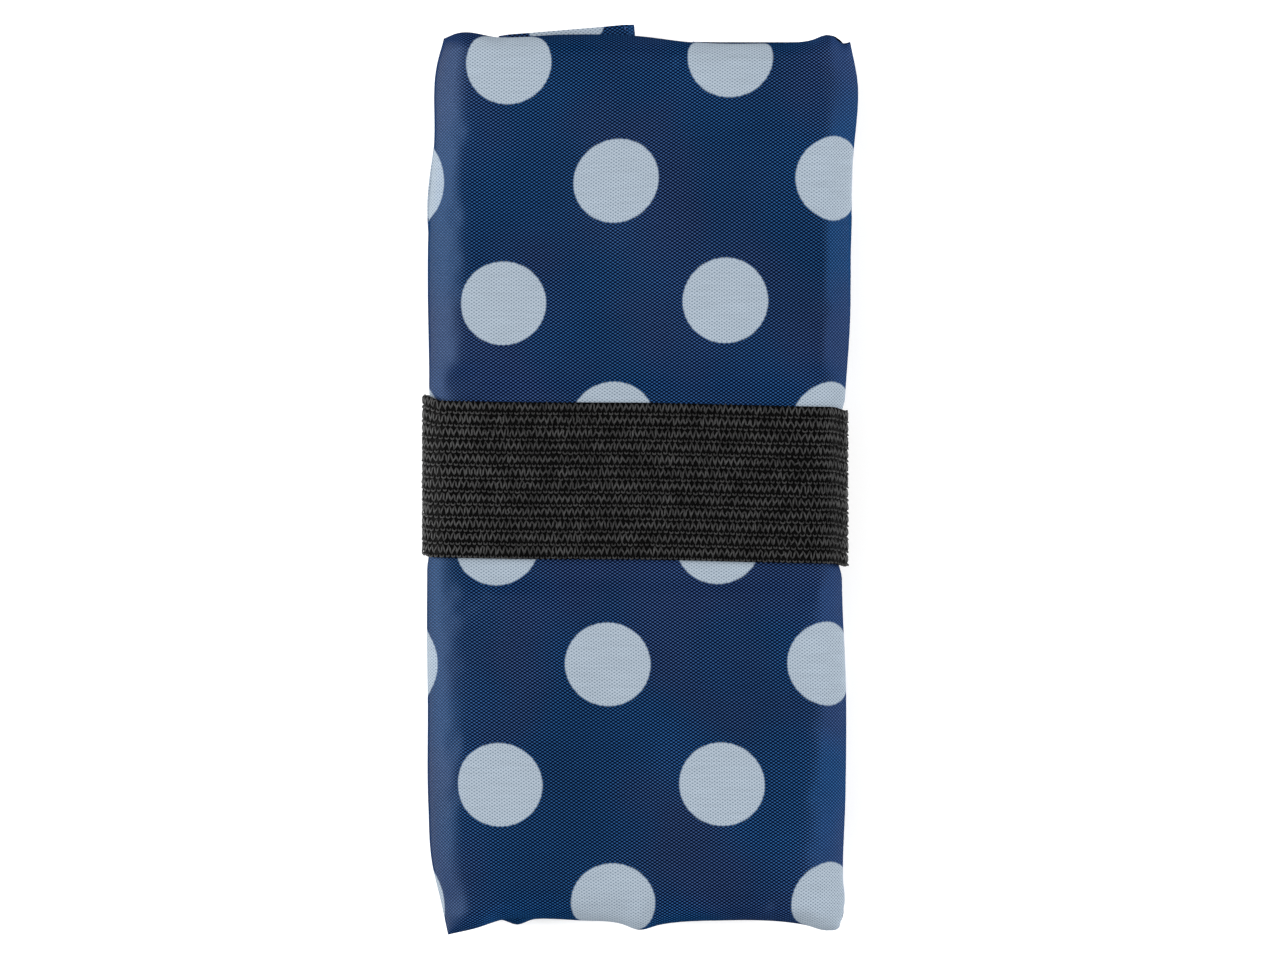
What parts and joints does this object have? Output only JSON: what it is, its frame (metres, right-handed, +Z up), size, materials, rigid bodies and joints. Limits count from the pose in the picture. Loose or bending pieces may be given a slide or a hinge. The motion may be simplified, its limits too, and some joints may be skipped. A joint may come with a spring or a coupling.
{
  "type": "foldable tote bag",
  "caption": "Shopping tote of polka-dot cloth folded flat into a slim packet, held by a wide ribbed elastic band; the sections and handles fold out.",
  "frame": {"origin": "under the middle of the folded packet, on the surface that it lies on", "axes": "+X across the packet, +Y along it towards the bag's mouth and handles, +Z up out of the face that the dots are seen on"},
  "size_m": [0.0698, 0.1444, 0.0149],
  "materials": {
    "dotted_cloth": "plain-woven polyester, navy with pale ice-blue dots, slight sheen",
    "seam_tape": "overlocked seam allowance, matt navy",
    "sewing_thread": "spun polyester sewing thread",
    "black_elastic": "ribbed knitted elastic, matt black",
    "black_thread": "spun polyester thread, black"
  },
  "bodies": {
    "back_section": {"back_outer_cloth": "dotted_cloth", "back_inner_pleats": "dotted_cloth", "back_side_seams": "seam_tape", "mouth_hem": "dotted_cloth", "mouth_hem_stitching": "sewing_thread", "left_handle_tack": "dotted_cloth", "left_handle_tack_stitching": "sewing_thread", "right_handle_tack": "dotted_cloth", "right_handle_tack_stitching": "sewing_thread", "back_to_middle_fold": "dotted_cloth"},
    "middle_section": {"middle_outer_cloth": "dotted_cloth", "middle_inner_pleats": "dotted_cloth", "middle_side_seams": "seam_tape", "middle_to_front_fold": "dotted_cloth"},
    "front_section": {"front_outer_cloth": "dotted_cloth", "front_inner_pleats": "dotted_cloth", "front_side_seams": "seam_tape", "bottom_seam": "seam_tape"},
    "left_handle_lower": {"left_handle_lower_straps": "dotted_cloth", "left_handle_fold": "dotted_cloth"},
    "left_handle_upper": {"left_handle_upper_loop": "dotted_cloth"},
    "right_handle_lower": {"right_handle_lower_straps": "dotted_cloth", "right_handle_fold": "dotted_cloth"},
    "right_handle_upper": {"right_handle_upper_loop": "dotted_cloth"},
    "elastic_band": {"elastic_band": "black_elastic", "elastic_join_stitching": "black_thread"}
  },
  "joints": [
    {"name": "unfold_sections", "type": "hinge", "parent": "back_section", "child": "middle_section", "pos_m": [0, -0.0685, 0.0052], "axis": [1, 0, 0], "range_deg": [0, 180], "deforming": ["back_to_middle_fold"]},
    {"name": "unfold_front", "type": "hinge", "parent": "middle_section", "child": "front_section", "pos_m": [0, 0.0685, 0.01035], "axis": [1, 0, 0], "range_deg": [-180, 0], "deforming": ["middle_to_front_fold"]},
    {"name": "lift_left_handle", "type": "hinge", "parent": "back_section", "child": "left_handle_lower", "pos_m": [0, 0.0706, 0.0043], "axis": [1, 0, 0], "range_deg": [-180, 0], "deforming": ["left_handle_fold"]},
    {"name": "open_left_loop", "type": "hinge", "parent": "left_handle_lower", "child": "left_handle_upper", "pos_m": [0, 0.0009, 0.00535], "axis": [1, 0, 0], "range_deg": [0, 180]},
    {"name": "lift_right_handle", "type": "hinge", "parent": "back_section", "child": "right_handle_lower", "pos_m": [0, 0.0706, 0.0043], "axis": [1, 0, 0], "range_deg": [-180, 0], "deforming": ["right_handle_fold"]},
    {"name": "open_right_loop", "type": "hinge", "parent": "right_handle_lower", "child": "right_handle_upper", "pos_m": [0, 0.0009, 0.00535], "axis": [1, 0, 0], "range_deg": [0, 180]},
    {"name": "slide_band_off", "type": "slide", "parent": "back_section", "child": "elastic_band", "axis": [0, 1, 0], "range_m": [0, 0.24], "deforming": ["elastic_band", "elastic_join_stitching"]}
  ],
  "couplings": [
    {"joint": "unfold_front", "follows": "unfold_sections", "ratio": -1},
    {"joint": "lift_left_handle", "follows": "unfold_sections", "ratio": -1},
    {"joint": "open_left_loop", "follows": "unfold_sections", "ratio": 1},
    {"joint": "lift_right_handle", "follows": "unfold_sections", "ratio": -1},
    {"joint": "open_right_loop", "follows": "unfold_sections", "ratio": 1}
  ]
}
